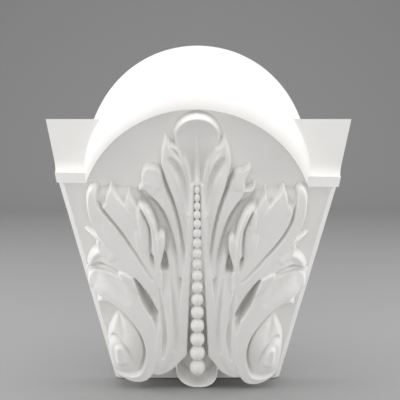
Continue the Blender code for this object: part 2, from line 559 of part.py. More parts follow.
def leaf_half_span(up):
    """Half the width of the ground that the leaf is drawn on."""
    share = max(0.0, up / LEAF_HEIGHT - 0.5) / LEAF_ARCH
    arch = LEAF_REACH * LEAF_SPREAD * max(0.0, 1 - share ** 3) ** 0.5
    return min(arch, half_width(FOOT_Z + up * math.cos(LEAN)) - LEAF_EDGE * EDGE_CHAMFER)


def leaf_mesh():
    """Closed slab let into the block, its front shaped by leaf_surface."""
    low = LEAF_LOW * LEAF_HEIGHT
    high = LEAF_HIGH * LEAF_HEIGHT
    rows = int((high - low) / LEAF_CELL)
    columns = int(2 * LEAF_REACH * LEAF_SPREAD / LEAF_CELL)
    ups = np.linspace(low, high, rows + 1)
    spans = np.array([leaf_half_span(up) for up in ups])
    across = spans[:, None] * np.linspace(-1, 1, columns + 1)[None, :]
    up = np.repeat(ups[:, None], columns + 1, axis=1)
    front = leaf_surface(across, up)
    work = bmesh.new()
    layers = []
    for level in (front, np.full(front.shape, -ROOT)):
        layers.append([[work.verts.new(on_panel(across[r, c], up[r, c], level[r, c]))
                        for c in range(columns + 1)] for r in range(rows + 1)])
    for grid in layers:
        for r in range(rows):
            for c in range(columns):
                work.faces.new((grid[r][c], grid[r][c + 1], grid[r + 1][c + 1], grid[r + 1][c]))
    face, back = layers
    rim = [(0, c) for c in range(columns)] + [(r, columns) for r in range(rows)]
    rim += [(rows, c) for c in range(columns, 0, -1)] + [(r, 0) for r in range(rows, 0, -1)]
    for (r, c), (s, d) in zip(rim, rim[1:] + rim[:1]):
        work.faces.new((face[r][c], back[r][c], back[s][d], face[s][d]))
    return finished("leaf", work)


def plaster():
    material = bpy.data.materials.new("white plaster")
    material.use_nodes = True
    shader = material.node_tree.nodes["Principled BSDF"]
    shader.inputs["Base Color"].default_value = (0.83, 0.83, 0.82, 1)
    shader.inputs["Roughness"].default_value = 0.6
    shader.inputs["Metallic"].default_value = 0.0
    return material


def boolean(target, cutter, operation):
    step = target.modifiers.new(cutter.name, "BOOLEAN")
    step.operation = operation
    step.solver = "EXACT"
    step.object = cutter


def hide_tool(item):
    item.hide_render = True
    item.display_type = "WIRE"


def build():
    clear_scene()
    parts = bpy.data.collections.new("corbel")
    tools = bpy.data.collections.new("corbel cutters")
    for collection in (parts, tools):
        bpy.context.scene.collection.children.link(collection)

    corbel = new_object("corbel", block_mesh(), parts)
    corbel.data.materials.append(plaster())
    hood = new_object("hood", hood_mesh(), tools)
    recess = new_object("recess", recess_mesh(), tools)
    leaf = new_object("leaf", leaf_mesh(), tools)

    thin = leaf.modifiers.new("fewer faces", "DECIMATE")
    thin.ratio = LEAF_FACES / sum(len(face.vertices) - 2 for face in leaf.data.polygons)

    boolean(corbel, hood, "UNION")
    boolean(corbel, recess, "DIFFERENCE")
    boolean(corbel, leaf, "UNION")
    for tool in (hood, recess, leaf):
        hide_tool(tool)


build()
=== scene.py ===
"""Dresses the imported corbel: finely carved meshes, cast plaster and the studio round it. Metres, +Z up."""

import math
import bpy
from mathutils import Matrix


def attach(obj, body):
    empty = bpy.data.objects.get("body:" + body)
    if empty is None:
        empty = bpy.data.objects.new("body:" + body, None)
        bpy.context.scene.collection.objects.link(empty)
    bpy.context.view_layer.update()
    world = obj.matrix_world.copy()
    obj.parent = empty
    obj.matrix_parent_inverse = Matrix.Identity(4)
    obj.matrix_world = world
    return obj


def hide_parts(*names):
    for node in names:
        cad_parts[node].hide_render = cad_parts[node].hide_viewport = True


bl_info = {
    "name": "Acanthus corbel",
    "version": (1, 0, 0),
    "blender": (4, 5, 0),
    "location": "3D View > Sidebar > Corbel",
    "description": "Builds the carved plaster corbel and its studio on the packed frame",
    "category": "Object",
}

from types import SimpleNamespace

import bmesh
import bpy
import numpy as np
from bpy.props import FloatProperty, FloatVectorProperty, IntProperty, PointerProperty
from mathutils import Vector

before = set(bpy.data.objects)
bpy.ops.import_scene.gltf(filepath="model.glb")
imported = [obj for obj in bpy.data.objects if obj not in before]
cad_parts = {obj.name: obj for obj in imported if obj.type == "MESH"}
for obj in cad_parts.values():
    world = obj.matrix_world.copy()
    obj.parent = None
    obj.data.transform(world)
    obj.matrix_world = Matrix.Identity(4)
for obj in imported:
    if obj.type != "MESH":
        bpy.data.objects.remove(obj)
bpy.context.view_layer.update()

# Half of the leaf, drawn on the leaning panel. A rib has a name, the side it is on (-1 left,
# 1 right, 0 both), the hollow (-) or crown (+) of its section, the width of its rounded edge and
# rows of (across, up, half width, height), in hundredths of the leaf's spread, height, spread
# and relief. The low ribs and grooves come first, and the others lie over them.
LOW_RIBS = (
    ("lower lobe", 0, -0.03, 0.6, ((29.3, 12.9, 0.41, 108), (27.8, 9.8, 0.75, 120),
                                   (24.8, 7.9, 1.15, 132), (20.9, 7.1, 1.77, 136),
                                   (17.6, 8.7, 2.37, 136), (15.6, 14.1, 2.42, 133),
                                   (15.1, 19.1, 2.66, 129), (16.1, 25.4, 3.16, 124),
                                   (18.6, 31.8, 4.04, 117), (21.8, 37.2, 5.04, 108),
                                   (25.3, 40.5, 5.47, 99), (28.8, 42.1, 4.83, 88),
                                   (32.3, 43.3, 3.42, 68))),
    ("lobe root", 0, 0, 1.5, ((34, 45.8, 2.26, 50), (31.3, 46.7, 3.05, 68), (28, 46.4, 3.36, 82),
                              (24.5, 44, 3.36, 96))),
    ("lower barb", 0, 0, 0.9, ((26.7, 37.9, 1.55, 98), (29.2, 37.7, 1.56, 92), (30.9, 37, 1.43, 82),
                               (32.4, 35.4, 0.92, 64))),
    ("barb spike", 0, 0, 0.6, ((29.7, 37.6, 1.49, 90), (31.3, 37.8, 0.85, 74), (32.1, 37.8, 0.39, 56))),
    ("scroll body", 0, 0.35, 1.2, ((24, 11.8, 5.79, 88), (23.8, 16.6, 6.75, 90),
                                   (24.1, 20.6, 6.37, 86), (24.6, 24.5, 4.68, 66),
                                   (25.2, 27.1, 3.01, 46), (25.8, 29, 1.34, 26))),
    ("scroll eye", 0, 0.12, 2.2, ((25.5, 14.3, 3.23, 121), (25.9, 19.1, 2.94, 118))),
)
LOW_GROOVES = (
    ("lip hollow", 0, ((36.7, 46.5, 4.53, 32), (33.8, 46.5, 4.85, 36), (30.9, 46.2, 4.85, 35),
                       (27.8, 44.4, 4.55, 28), (25.1, 41.2, 3.61, 16), (23, 38, 2.65, 6))),
)
RIBS = (
    ("foot web", 0, 0, 4.2, ((8.7, 57.9, 1.89, 48), (8.7, 54.4, 3.16, 70), (8.4, 49.8, 4.44, 84),
                             (8.5, 43.4, 5.12, 99), (8.9, 36.2, 5.83, 111), (9.7, 28.8, 6.22, 121),
                             (10.8, 21.1, 6.63, 128), (11.5, 15.9, 5.69, 131), (12.1, 11.7, 4.55, 131))),
    ("inner strand", 0, 0, 1.4, ((1.4, 77, 1.27, 58), (1.7, 70.9, 1.71, 67), (2, 64.3, 1.92, 76),
                                 (2.4, 55.8, 2.26, 87), (2.7, 47.1, 2.86, 98), (3.2, 38, 3.55, 107),
                                 (4, 26.5, 4.12, 114), (4.8, 18.5, 4.18, 118), (5.4, 15.2, 3.53, 119))),
    ("tip web", 0, 0, 1.6, ((4.6, 85.7, 1.8, 22), (4.1, 81.5, 2.71, 34), (3.3, 76.1, 2.58, 52),
                            (2.6, 67.5, 1.84, 70))),
    ("hollow web", 0, -0.1, 1.6, ((16.2, 71.3, 1.24, 20), (13.5, 68.3, 2.17, 24),
                                  (11.4, 63.6, 2.5, 30), (9.6, 58.4, 2.52, 42), (8.4, 54, 2.22, 60),
                                  (7.8, 48.9, 2.23, 80))),
    ("foot skirt", 0, 0, 1.8, ((13.3, 12.3, 5.23, 128), (10.9, 13.9, 5.38, 126), (8.5, 16.2, 5.2, 122),
                               (6.2, 19.3, 4.67, 118), (4.5, 23.1, 3.65, 111), (3.6, 29, 2.63, 100),
                               (3.1, 35.3, 1.63, 92))),
    ("side web", 0, 0, 1.6, ((14.5, 42.9, 4.16, 107), (18.2, 49.8, 5.05, 102), (21.7, 56.6, 5.63, 89),
                             (24.9, 63.2, 5.57, 77), (26, 68.5, 4.61, 67))),
    ("side web end", 0, 0, 1.6, ((15.1, 49.3, 2.54, 90), (18.3, 57.9, 3.43, 86),
                                 (21.4, 65.3, 3.39, 76), (22.8, 69.5, 2.76, 66))),
    ("finger back", 0, 0, 3.2, ((27.9, 70.4, 5.25, 34), (25.1, 70.5, 5.24, 36), (22.7, 70.4, 5.09, 35),
                                (20.8, 70.7, 4.47, 32), (19.6, 71.3, 3.55, 30))),
    ("eye web", 0, 0, 1.2, ((17.1, 42.4, 2.56, 104), (15, 38, 2.9, 108), (12.8, 33.5, 2.93, 112))),
    ("eye web", 0, 0, 1.2, ((12.9, 44.6, 1.92, 101), (12.4, 40.3, 2.09, 107), (11.8, 35.9, 2.1, 112))),
    ("under web", 0, 0, 1.8, ((15.2, 41.8, 1.6, 106), (19.6, 45.3, 2.87, 101), (23.3, 49.5, 3.32, 95),
                              (27, 52.1, 3.63, 85), (30.1, 52.7, 3.42, 70), (32.2, 51.4, 2.68, 57),
                              (33.5, 49.8, 1.99, 48), (34.4, 48.4, 1.35, 42))),
    ("under corner", 0, 0, 1.2, ((26.3, 54, 3.3, 88), (28.4, 55.4, 3.14, 78), (30.2, 56.6, 2.07, 70),
                                 (30.6, 58.1, 1.57, 68))),
    ("flank", -1, -0.28, 1, ((2.8, 51.7, 1.58, 94), (3.3, 61.1, 2.05, 86), (4, 67.9, 2.54, 80),
                             (5, 73.5, 3.12, 75), (6.2, 78.7, 3.42, 72), (7.6, 83.2, 3.28, 69),
                             (8.6, 87.3, 2.36, 65), (9, 89.9, 1.47, 52), (9.2, 92.1, 0.65, 32),
                             (9.3, 92.8, 0.3, 12))),
    ("flank", 1, -0.28, 1, ((2.8, 51.7, 1.58, 94), (3.3, 61.1, 2.05, 86), (4, 67.9, 2.54, 80),
                            (5, 73.5, 3.12, 75), (6, 78.7, 3.3, 72), (7.3, 83.2, 3.1, 69),
                            (7.9, 87.3, 2.19, 65), (8.1, 89.9, 1.36, 52), (8.1, 92.2, 0.65, 32),
                            (8, 93.1, 0.3, 12))),
    ("flank ridge", 0, 0, 1.3, ((8.7, 90.1, 0.47, 58), (7.2, 89.3, 0.71, 64), (5.9, 88, 0.83, 60),
                                (4.9, 85.1, 0.9, 44), (3.8, 81, 0.9, 38))),
    ("middle lobe", -1, -0.06, 0.9, ((4.9, 46.6, 1.59, 96), (5.5, 54.9, 1.57, 84),
                                     (6.7, 62.4, 1.86, 74), (8.1, 68.1, 2.27, 67),
                                     (9.9, 72.4, 2.87, 62), (12, 76.3, 3.76, 57),
                                     (13.4, 79.3, 3.62, 52), (14, 80.4, 2.86, 46))),
    ("middle lobe", 1, -0.06, 0.9, ((4.9, 46.6, 1.59, 96), (5.5, 54.9, 1.57, 84),
                                    (6.7, 62.4, 1.86, 74), (8.1, 68.1, 2.27, 67),
                                    (9.9, 72.4, 2.87, 62), (11.5, 75.6, 3.34, 57),
                                    (12.4, 78.1, 2.48, 53), (13.1, 80, 2.29, 48))),
    ("middle corner", -1, 0, 0.7, ((13.8, 75.6, 2.13, 56), (15, 78.4, 2.27, 52), (15, 81.2, 1.57, 45),
                                   (15.1, 82.1, 1.08, 40))),
    ("middle corner", 1, 0, 0.7, ((12.6, 76.9, 1.82, 56), (13.4, 79.4, 1.51, 50),
                                  (14.6, 81.2, 1.44, 45), (15.4, 82.2, 1.08, 40))),
    ("middle corner", 0, 0, 0.7, ((12, 76.9, 1.51, 56), (12.2, 80.3, 1.39, 49), (12.3, 81, 1.02, 44))),
    ("middle tooth", -1, 0, 0.6, ((15.3, 77, 1.51, 55), (16.9, 76.1, 1.03, 51), (18, 74.8, 0.27, 42))),
    ("middle tooth", 1, 0, 0.6, ((14.1, 75.3, 0.67, 54), (16.3, 75.6, 0.91, 52),
                                 (17.3, 76.8, 0.61, 48), (17.3, 78.1, 0.24, 36))),
    ("first finger", 0, -0.05, 1.1, ((13, 41.2, 2.24, 110), (17.2, 48.5, 3.32, 105),
                                     (21.8, 53.9, 3.92, 95), (26.2, 59.3, 4.17, 84),
                                     (29.5, 64.3, 3.71, 76), (31.5, 68.9, 2.82, 71),
                                     (32.1, 73.1, 2.13, 64), (31.6, 75.5, 1.52, 54),
                                     (31.2, 76.2, 0.49, 30))),
    ("second finger", 0, 0, 0.6, ((18, 55.2, 2.19, 90), (20.1, 60, 3.11, 85), (23.2, 66.4, 3.85, 76),
                                  (25.2, 70.2, 3.24, 69), (26.1, 73.1, 2.01, 63),
                                  (26.2, 75.6, 0.85, 56), (26.2, 76.9, 0.24, 40))),
    ("third finger", 0, 0, 0.6, ((17.3, 57.2, 2.19, 86), (19, 64, 2.78, 78), (20.3, 68.6, 2.7, 70),
                                 (20.7, 71.4, 1.83, 64), (20.8, 74.1, 0.79, 54), (20.8, 75.8, 0.24, 38))),
    ("side tooth", 0, 0, 1.5, ((28.6, 58.7, 2.19, 78), (30.8, 59.3, 1.94, 66), (32.6, 60, 1.51, 52),
                               (34.1, 60.5, 1.07, 38), (35, 60.7, 0.69, 28))),
    ("leaflet arc", 0, 0.05, 0.8, ((12.6, 43.1, 1.6, 101), (12.6, 46.5, 1.53, 101),
                                   (12.5, 49.8, 1.39, 101), (13, 55.6, 1.37, 100),
                                   (13.2, 59.9, 1.43, 99), (13.7, 64, 1.48, 97),
                                   (14.7, 67.3, 1.47, 93), (16, 69.8, 1.4, 86), (17.4, 71, 0.98, 70),
                                   (18.1, 71.2, 0.43, 52))),
    ("leaflet link", 0, 0, 0.8, ((15.5, 56.1, 1.56, 95), (16.6, 61.7, 1.55, 91),
                                 (17.4, 65.7, 1.48, 86), (17.9, 69.1, 1.16, 76), (18, 70.7, 0.61, 62))),
    ("leaflet web", 0, 0, 1.2, ((16.7, 68.2, 1.07, 70), (15.6, 64.8, 1.69, 82), (14.7, 60.2, 1.86, 90),
                                (14.4, 55.4, 1.88, 95))),
    ("leaflet petal", 0, 0, 1, ((14.1, 48.3, 1.58, 101), (16, 53.3, 2.07, 98), (17.4, 58.2, 2.12, 94),
                                (18.7, 62.2, 1.42, 86), (19.6, 64.3, 0.4, 68))),
    ("leaflet tooth", 0, 0, 0.7, ((12, 42.7, 1.6, 101), (11.9, 46.8, 1.4, 101), (12, 50.5, 1.14, 101),
                                  (11.7, 54.9, 1.44, 100), (11.3, 58.4, 1.68, 98),
                                  (11.1, 61.1, 1.36, 91), (11.2, 62.6, 0.37, 68))),
    ("lip tooth", 0, 0, 0.7, ((18.4, 42, 2.24, 112), (21.8, 45.4, 2.07, 111), (23.9, 47.5, 1.39, 108),
                              (24.8, 48.7, 0.38, 98))),
)
# Tip lobe and its midrib. The curl lifts the lobe past its last row
TIP_LOBE = ((0, 75.2, 1.52, 66), (0, 78.2, 2.48, 46), (0, 80.8, 3.52, 22), (0, 83.8, 4.77, 12),
            (0, 87.1, 5.85, 14), (0, 90.1, 6.89, 23), (0, 92.5, 7.14, 32))
MIDRIB = ((0, 77.7, 1.39, 60), (0, 80.8, 1.27, 34), (0, 84.4, 1.14, 20), (0, 88.2, 0.96, 19),
          (0, 92, 0.77, 28), (0, 95.4, 0.59, 40))
TIP_CURL = 46
TIP_HOLLOW = -0.3
# Pits go down to a share of the height round them: name, width of the rounded edge, rows
PITS = (
    ("eye", 0.8, ((10.3, 53.7, 0.38, 0), (10.3, 51.9, 0.94, 0), (10.4, 50, 1.26, 0),
                  (10.4, 49.3, 1.2, 0))),
    ("long eye", 1.3, ((20, 46, 0.32, 0), (18.1, 42.2, 1.09, 0), (16.3, 37.7, 1.68, 0),
                       (14.2, 33.1, 1.56, 0))),
)
# Grooves: name, side, rows whose last number is the depth
GROOVES = (
    ("finger groove", -1, ((30.6, 72.7, 0.27, 12), (29.9, 70.3, 0.46, 40), (27.2, 66.8, 0.52, 40),
                           (24, 62.4, 0.53, 34), (20.8, 57.3, 0.53, 26), (17.5, 51.7, 0.54, 18),
                           (14.2, 45.7, 0.51, 8))),
    ("finger groove", 1, ((30.6, 72.7, 0.27, 12), (30.2, 70, 0.46, 40), (29.4, 66.1, 0.52, 40),
                          (27.7, 62.4, 0.53, 36), (25.1, 58.6, 0.53, 32), (21.5, 54.2, 0.53, 24),
                          (17.6, 49.3, 0.54, 16), (14.5, 45.3, 0.51, 8))),
    ("flank groove", 0, ((10.7, 82.8, 0.36, 14), (10, 79.4, 0.57, 42), (8.9, 75.8, 0.73, 50),
                         (7.6, 72.3, 0.73, 44), (6.4, 67.9, 0.68, 34), (5.4, 62.9, 0.62, 26),
                         (4.7, 57.2, 0.56, 18), (4, 49.5, 0.38, 6))),
    ("leaflet groove", 0, ((17.1, 69.2, 0.24, 14), (16, 66.8, 0.46, 34), (14.9, 63.9, 0.52, 38),
                           (14.6, 59.8, 0.53, 34), (14.7, 55.6, 0.5, 26), (14.1, 50.1, 0.32, 8))),
    ("flute", 0, ((8.4, 45.9, 0.48, 5), (7.5, 36, 1.1, 15), (7.3, 25.8, 1.19, 19), (7.8, 18.6, 0.87, 8))),
    ("flute", 0, ((12.4, 42.2, 0.48, 5), (11.1, 32.2, 1.11, 17), (10.8, 23.4, 1.19, 21),
                  (11.6, 16.2, 0.87, 7))),
    ("flank hollow", 0, ((7.7, 85.4, 1.2, 12), (6.5, 83.8, 1.96, 24), (5.3, 81.6, 2.26, 36),
                         (4.1, 78.5, 1.97, 34), (3.2, 74, 1.54, 20), (2.7, 68.7, 0.94, 6))),
)
# Cup under the string, and two points of the line that its upper edge follows
CUP = ((0, 10.4, 7.64, 132), (0, 12.2, 7.68, 130))
CUP_EDGE = ((3.2, 16.5), (7.8, 11.7))
# How the right half differs: height, shrinking across, lowering
RIGHT_HALF = ((10, 1.06, 1), (20, 1.05, 0.9), (35, 1.03, 0.9), (45, 1, 0.5), (55, 1.02, 1.5),
              (65, 1.01, 1.2), (75, 1, 0.3), (85, 1, 0))
RIGHT_BLEND = 9.0        # from here outwards the right half differs in full, in hundredths of the spread
FAR_OFF = 1000.0         # where a rib of the other half is sent
SHOULDER = 2.2           # roundness of the ribs' edges
TIP_ROLL = 1.1
CUP_HOLLOW = 0.8
CUP_ROLL = 0.35
CUP_RIM = 0.45
CUP_WALL = 1.9
CUP_LEDGE = 0.6
GROOVE_FLOOR = 8
PIT_FLOOR = 0.3
# Groove round the eye of each volute
SCROLL_CENTRE = (26, 15.7)
SCROLL_REACH = (3.43, 7.3)
SCROLL_SHARPNESS = 0.15
SCROLL_LEAN = 0.22
SCROLL_FADE = (-0.55, 0.9)
SCROLL_DEPTH = 18

# Surface of the leaf
WIDTHS_TO_SPREAD = 0.661  # the ears' and the foot's widths together, times this, are the leaf's spread
LEAF_LOW = 0.018         # lowest and highest rows of points, in shares of the leaf's height
LEAF_HIGH = 1.008
LEAF_REACH = 0.37        # half the drawn width, as a share of the leaf's spread
LEAF_EDGE = 0.4          # how far the leaf stays inside the block, in widths of the slanted strip
BARE_HEIGHT = 1          # ground is bare where the leaf is lower than this, in hundredths of the relief
KEPT_BLUR = 1.2          # cells over which the leaf is widened into the bare ground
KEPT_LIMIT = 0.002
BLUR_REACH = 3           # how far a blur reaches, in times its radius
# Painted shade in the carving's hollows, worked out at these two scales
PAINTED_SHADE_SCALES = ((0.0030, 0.004), (0.0100, 0.009))    # metres looked at, and depth that counts in full
TINY = 1e-6              # keeps a division from meeting zero

# String of beads, in shares of the leaf's height, and its channel in metres
STRING_TOP = 0.797
STRING_RUN = 0.712
STRING_LEVELS = ((0.10, 1.13), (0.25, 1.08), (0.5, 0.81), (0.8, 0.62))   # share of height, of relief
BEAD_HALF = 0.53         # half a bead's length, as a share of its pitch, so that they touch
CHANNEL_TOP = 0.95
CHANNEL_GAP = 0.0033     # gap beside the beads for a whole share below that top
CHANNEL_OPENING = 1.2    # power of that share
CHANNEL_EDGE = 0.0007    # width of the channel's rounded edge
CHANNEL_PAST = 0.005     # how far the channel runs past the string
CHANNEL_FADE = 0.02
CHANNEL_FLOORS = ((0.12, 46), (0.22, 60), (0.36, 78), (0.55, 78), (0.8, 68))   # share of height, height

# Block and hood
SIDE_LEAD = (-0.0004, 0.0022)    # how much farther out the right side stands: foot, ears
EDGE_ROUNDS = 5          # rounds that find the corner of the panel under the tilted fillet
CUTTER_DROP = 0.25       # how far the recess cutter goes below the foot, as a share of the body's height
ARCH_STEPS = 120
HOOD_STEPS = 28
HOOD_FULLNESS = 1.25     # 1 is a quarter round, 2 a straight slope
HOOD_FOOT_FULLNESS = 0.7
HOOD_BLEND = 3           # power that keeps the feet's fullness near the feet
HOOD_ROOT = 0.9          # share of their depth at which the hood's feet end inside the block
SOFT_EDGE_ANGLE = 26     # edges sharper than this, in degrees, are rounded
SOFT_EDGE_SEGMENTS = 3

# Plaster. The shades are shares of the crevice colour, which is painted shade in the carving's hollows and
# also tones the clouding and pinholes; the sizes are in metres
CLOUD_RANGE = (0.3, 0.7)
CLOUD_SHADE = 0.10
# Share of the crevice colour in the deepest hollow: painted shade
PAINTED_SHADE_STRENGTH = 0.55
ROUGHNESS_SPREAD = 0.08
SPECULAR = 0.35
BUMP_STRENGTH = 0.35
BUMP_DISTANCE = 0.00012
PINHOLE_EDGE = (0.035, 0.015)    # where a pinhole starts and where it is full, in shares of their spacing
GRAIN_SIZES = (("Cloud size", 0.030), ("Grain size", 0.0012), ("Pinhole spacing", 0.0085))
SIZE_LIMITS = (0.0001, 1.0)

# Camera, floor and lights, in metres and degrees
CAMERA_AIM = (0.00225, -0.0072, 0.01405)
CAMERA_DISTANCE = 0.675
CAMERA_HEIGHT_ANGLE = 6.0
CAMERA_ANGLE = 29.86
FLOOR_GAP = 0.001
FLOOR_ROUGHNESS = 0.8
FLOOR_CLOUD_SCALE = 3.0
FLOOR_CLOUDS = (0.99, 1.01)      # darkest and brightest cloud, in shares of the floor's colour
SWEEP_START = 1.3
SWEEP_BEND = 0.8
SWEEP_RISE = 1.2
SWEEP_HALF_WIDTH = 4.0
LIGHT_AIM = (0, -0.05, 0)
# Lights: name of the power in the sidebar, place, width and height
LIGHTS = (
    ("top", (0.0, -0.10, 1.4), (1.4, 1.4)),
    ("front", (0.0, -1.0, 1.2), (1.4, 1.0)),
    ("low", (0.0, -1.3, 0.0), (1.6, 0.3)),
    ("left", (-1.3, -0.15, 0.35), (1.0, 1.2)),
    ("right", (1.3, -0.15, 0.35), (1.0, 1.2)),
)


# Sizes and colours that can be changed in the sidebar

def length(name, default, description):
    return FloatProperty(name=name, description=description, default=default, min=0.0, precision=5,
                         subtype="DISTANCE", unit="LENGTH")


def colour(name, default, description):
    return FloatVectorProperty(name=name, description=description, default=default, size=3,
                               subtype="COLOR", min=0.0, max=1.0)


def power(name, default, description):
    return FloatProperty(name=name, description=description, default=default, min=0.0, unit="POWER")


class BlockSizes(bpy.types.PropertyGroup):
    ear_span: length("Ear span", 0.2418, "Width across the ears, at their tops")
    foot_span: length("Foot span", 0.1521, "Width at the foot")
    body_height: length("Body height", 0.2375, "Height from the foot to the tops of the ears")
    fascia_depth: length("Fascia depth", 0.0765, "Wall to the upright face of the ears")
    fascia_height: length("Fascia height", 0.0343, "Height of the upright face of the ears")
    cove_drop: length("Cove drop", 0.0096, "Height of the hollow moulding under that face")
    cove_reach: length("Cove reach", 0.0085, "How far that moulding steps forward")
    fillet_height: length("Fillet height", 0.0080, "Height of the flat band under the hollow")
    rim_step: length("Rim step", 0.0046, "How far fillet and arch stand in front of the panel")
    foot_depth: length("Foot depth", 0.0064, "Thickness at the foot")
    edge_chamfer: length("Edge chamfer", 0.0045, "Slanted strips beside the panel")
    moulding_tilt: length("Moulding tilt", 0.0019,
                          "How far the mouldings stand higher on the left and lower on the right")
    arch_span: length("Arch span", 0.1764, "Inner edge of the arch, where it meets the fillet")
    arch_rise: length("Arch rise", 0.0590, "Height of the arch over the foot of the fillet")
    hood_span: length("Hood span", 0.1830, "Width of the hood's outline on the wall")
    hood_rise: length("Hood rise", 0.0846, "Height of the hood's outline on the wall")
    hood_above_ears: length("Hood above ears", 0.0649, "Top of the hood over the tops of the ears")
    soft_edge: length("Soft edge", 0.0011, "Rounding of the cast edges")


class LeafSizes(bpy.types.PropertyGroup):
    relief: length("Relief", 0.0180, "Height over the panel that the rib table is a share of")
    sunk: length("Sunk", 0.0012, "How far the ground of the leaf lies under the panel")
    cell: length("Cell", 0.0006, "Spacing of the surface points")
    soft_edge: length("Soft edge", 0.0005, "Rounding of the carved edges")


class BeadSizes(bpy.types.PropertyGroup):
    count: IntProperty(name="Count", description="Number of beads", default=18, min=2, max=60)
    top_radius: length("Top radius", 0.0015, "Radius of the highest bead")
    foot_radius: length("Foot radius", 0.0069, "Radius of the lowest bead")
    growth: FloatProperty(name="Growth", description="Each bead is this much longer than the one above",
                          default=1.057, min=0.5, max=2.0)


class PlasterLook(bpy.types.PropertyGroup):
    clean: colour("Plaster", (0.84, 0.832, 0.815), "Colour of the clean plaster")
    # Painted shade: this colour darkens the carving's hollows, where shade falls; it also tones the random
    # clouding and the pinholes
    shade: colour("Crevice", (0.60, 0.585, 0.56), "Colour of the dust in the crevices")
    roughness: FloatProperty(name="Roughness", description="Roughness of the plaster", default=0.62,
                             min=0.0, max=1.0, subtype="FACTOR")


class StudioLook(bpy.types.PropertyGroup):
    floor_colour: colour("Floor", (0.34, 0.34, 0.34), "Colour of the floor")
    sky: FloatProperty(name="Sky", description="Strength of the light from all round", default=0.4, min=0.0)
    top: power("Top light", 12.9, "Power of the light overhead")
    left: power("Left light", 12.8, "Power of the light on the left")
    right: power("Right light", 10.9, "Power of the light on the right")
    front: power("Front light", 3.6, "Power of the light over the camera")
    low: power("Low light", 3.8, "Power of the light at the height of the floor")


def values():
    """Every size by name: those in the sidebar and those worked out from them."""
    scene = bpy.context.scene
    v = SimpleNamespace()
    for name in BlockSizes.__annotations__:
        setattr(v, name, getattr(scene.corbel_block, name))
    v.total_height = v.body_height + v.hood_above_ears
    v.foot_z = -v.total_height / 2
    v.ear_z = v.foot_z + v.body_height
    v.cove_top_z = v.ear_z - v.fascia_height
    v.fillet_foot_z = v.cove_top_z - v.cove_drop - v.fillet_height
    v.fillet_depth = v.fascia_depth + v.cove_reach
    v.lean = math.atan2(v.fillet_depth - v.rim_step - v.foot_depth, v.fillet_foot_z - v.foot_z)
    v.arch_radius = (v.arch_span ** 2 / 4 + v.arch_rise ** 2) / (2 * v.arch_rise)
    v.arch_centre_z = v.fillet_foot_z + v.arch_rise - v.arch_radius
    v.leaf_height = (v.fillet_foot_z + v.arch_rise - v.foot_z) / math.cos(v.lean)
    v.leaf_spread = (v.ear_span + v.foot_span) * WIDTHS_TO_SPREAD
    v.leaf = scene.corbel_leaf
    v.beads = scene.corbel_beads
    return v


# The block

def half_width(v, z):
    """Half the block's width at the height z: its sides lean in towards the foot."""
    share = (z - v.foot_z) / v.body_height
    return (v.foot_span + (v.ear_span - v.foot_span) * share) / 2


def side_x(v, side, z):
    """Where a side face stands. The right one stands farther out towards the ears."""
    lead = SIDE_LEAD[0] + (SIDE_LEAD[1] - SIDE_LEAD[0]) * (z - v.foot_z) / v.body_height
    return side * half_width(v, z) + lead * (side > 0)


def on_panel(v, across, up, proud):
    """World point from the distances across, up the leaning panel, and out of it."""
    depth = v.foot_depth + up * math.sin(v.lean) + proud * math.cos(v.lean)
    return across, -depth, v.foot_z + up * math.cos(v.lean) - proud * math.sin(v.lean)


def panel_depth(v, z, step=0.0):
    """Distance from the wall to the panel at the height z, plus a step forward."""
    return v.foot_depth + (z - v.foot_z) * math.tan(v.lean) + step


def finished(name, work):
    """Mesh of the working body, with its faces turned outward."""
    bmesh.ops.recalc_face_normals(work, faces=work.faces)
    mesh = bpy.data.meshes.new(name)
    work.to_mesh(mesh)
    work.free()
    return mesh


def mesh_from_rings(name, rings):
    """Closed body through rings of equal length, with a face over each end."""
    work = bmesh.new()
    rows = [[work.verts.new(point) for point in ring] for ring in rings]
    count = len(rows[0])
    for lower, upper in zip(rows, rows[1:]):
        for i in range(count):
            j = (i + 1) % count
            work.faces.new((lower[i], lower[j], upper[j], upper[i]))
    work.faces.new(rows[0])
    work.faces.new(rows[-1])
    return finished(name, work)


def tilted(v, x, z):
    """Height of a moulding at x: cove, fillet and arch run slightly downhill to the right."""
    return z - v.moulding_tilt * x / (v.ear_span / 2)


def block_mesh(v, cove_steps=16):
    """Side profile of the block, drawn out to the two side faces."""
    moulding = []
    for i in range(cove_steps + 1):
        angle = math.pi / 2 * i / cove_steps
        moulding.append((v.fascia_depth + v.cove_reach * (1 - math.cos(angle)),
                         v.cove_top_z - v.cove_drop * math.sin(angle)))
    moulding.append((v.fillet_depth, v.fillet_foot_z))
    rings = []
    for side in (-1, 1):
        profile = [(0.0, v.ear_z), (v.fascia_depth, v.ear_z)]
        profile += [(depth, tilted(v, side_x(v, side, z), z)) for depth, z in moulding]
        profile += [(panel_depth(v, v.foot_z, v.rim_step), v.foot_z), (0.0, v.foot_z)]
        rings.append([(side_x(v, side, z), -depth, z) for depth, z in profile])
    return mesh_from_rings("block", rings)


def arch_point(v, share):
    """Inner edge of the arch in the front view, from its left foot to its right foot."""
    reach = math.asin(v.arch_span / 2 / v.arch_radius)
    if v.arch_rise > v.arch_radius:
        reach = math.pi - reach
    angle = reach * (2 * share - 1)
    x = v.arch_radius * math.sin(angle)
    return x, tilted(v, x, v.arch_centre_z + v.arch_radius * math.cos(angle))


def wall_point(v, share):
    """Outline of the hood on the wall, from its left foot to its right foot."""
    angle = math.pi * (share - 0.5)
    top = v.ear_z + v.hood_above_ears
    return v.hood_span / 2 * math.sin(angle), top - v.hood_rise * (1 - math.cos(angle))


